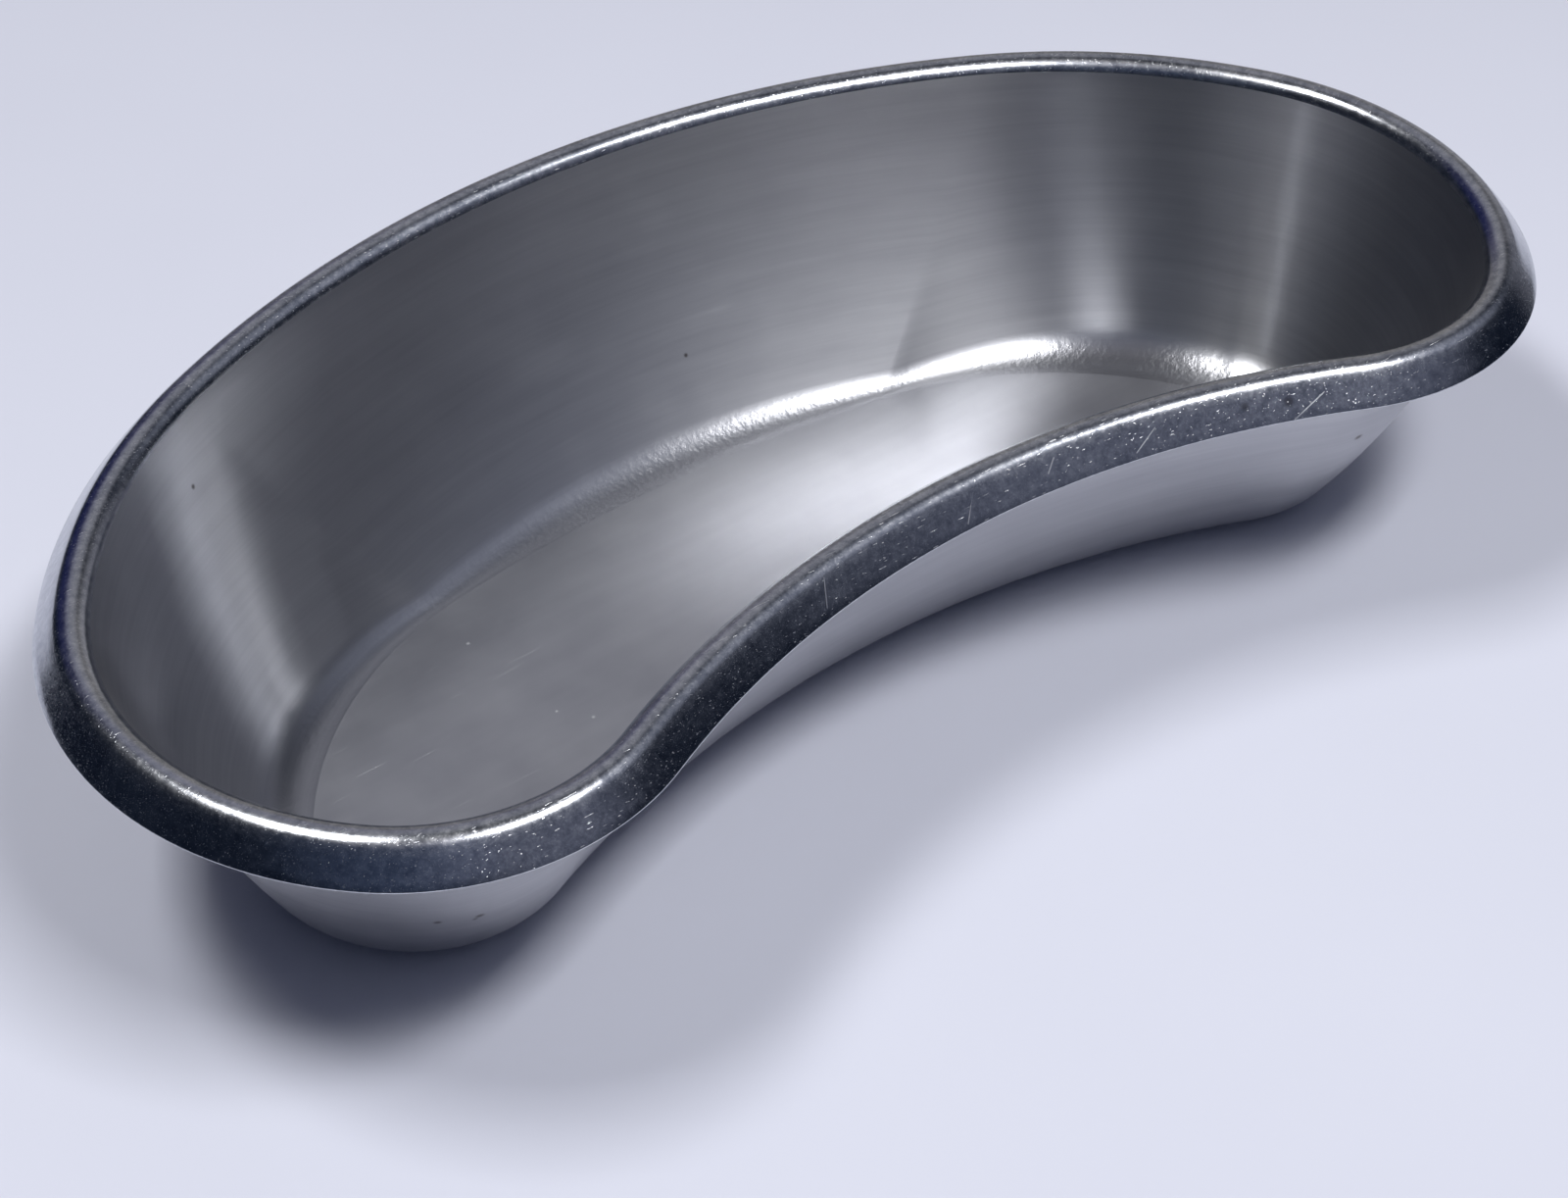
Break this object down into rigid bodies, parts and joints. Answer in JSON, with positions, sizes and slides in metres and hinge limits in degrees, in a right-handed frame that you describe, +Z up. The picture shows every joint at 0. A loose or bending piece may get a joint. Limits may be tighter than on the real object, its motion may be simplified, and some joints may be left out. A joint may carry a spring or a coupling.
{
  "type": "kidney dish",
  "caption": "Kidney-shaped stainless steel dish with a flat floor, flared wall and turned-down rim, for catching and carrying fluids, dressings and instruments.",
  "frame": {"origin": "on the underside of the flat floor, at the middle of the dish's bounding box", "axes": "+Z up, +X along the length of the dish, the hollow side of the kidney faces -Y and the full round side +Y"},
  "size_m": [0.2082, 0.1142, 0.0404],
  "materials": {
    "stainless_steel": "satin pressed stainless steel with fine drawing lines, scuffed on the rim"
  },
  "bodies": {
    "root": {"kidney_dish": "stainless_steel"}
  },
  "joints": []
}
